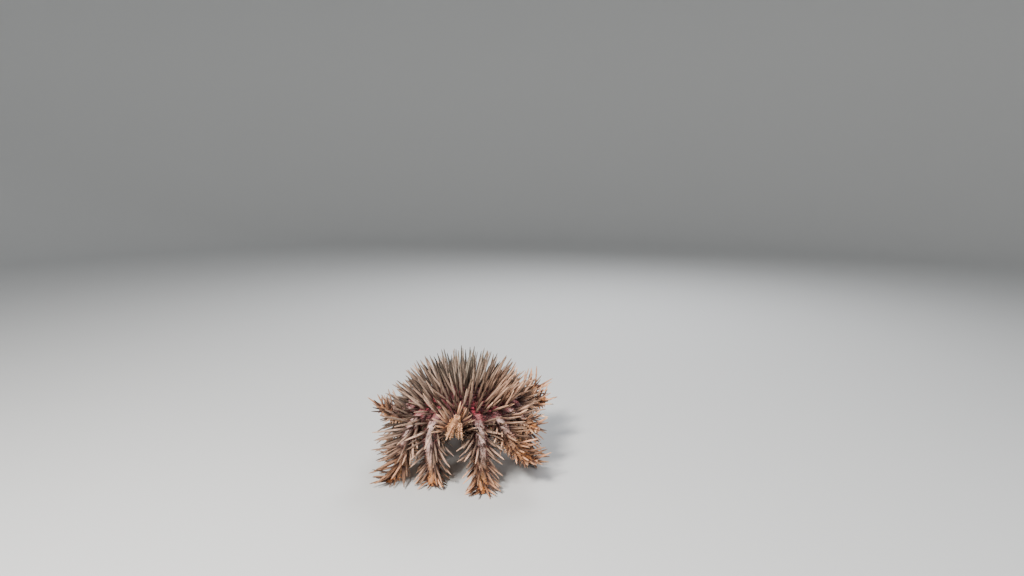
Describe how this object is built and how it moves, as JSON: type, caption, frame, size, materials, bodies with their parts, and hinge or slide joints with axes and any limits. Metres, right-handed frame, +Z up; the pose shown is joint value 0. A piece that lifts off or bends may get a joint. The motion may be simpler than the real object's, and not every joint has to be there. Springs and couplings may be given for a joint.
{
  "type": "crown of thorns starfish",
  "caption": "Life-size crown of thorns starfish with a domed disc, a ring of drooping arms it stands on, and long tapered spines.",
  "frame": {"origin": "middle of the whole animal's outline on the floor, at the level of the arm tips it stands on", "axes": "+Z up, along the disc's axis, mouth down; -Y towards the viewer of the picture; +X to the viewer's right"},
  "size_m": [0.2338, 0.25, 0.144],
  "materials": {
    "disc_skin": "matt, rough, damp skin in maroon and brown, with tan spines",
    "arm_skin": "matt, rough, damp skin in grey-pink and brown, with tan spines",
    "arm_tip_skin": "matt, rough, damp skin in ochre and orange, with tan spines"
  },
  "bodies": {
    "root": {"disc": "disc_skin", "arm_01_base": "arm_skin", "arm_01_tip": "arm_tip_skin", "arm_02_base": "arm_skin", "arm_02_tip": "arm_tip_skin", "arm_03_base": "arm_skin", "arm_03_tip": "arm_tip_skin", "arm_04_base": "arm_skin", "arm_04_tip": "arm_tip_skin", "arm_05_base": "arm_skin", "arm_05_tip": "arm_tip_skin", "arm_06_base": "arm_skin", "arm_06_tip": "arm_tip_skin", "arm_07_base": "arm_skin", "arm_07_tip": "arm_tip_skin", "arm_08_base": "arm_skin", "arm_08_tip": "arm_tip_skin", "arm_09_base": "arm_skin", "arm_09_tip": "arm_tip_skin", "arm_10_base": "arm_skin", "arm_10_tip": "arm_tip_skin", "arm_11_base": "arm_skin", "arm_11_tip": "arm_tip_skin", "arm_12_base": "arm_skin", "arm_12_tip": "arm_tip_skin", "arm_13_base": "arm_skin", "arm_13_tip": "arm_tip_skin", "arm_14_base": "arm_skin", "arm_14_tip": "arm_tip_skin", "arm_15_base": "arm_skin", "arm_15_tip": "arm_tip_skin", "arm_16_base": "arm_skin", "arm_16_tip": "arm_tip_skin"}
  },
  "joints": []
}
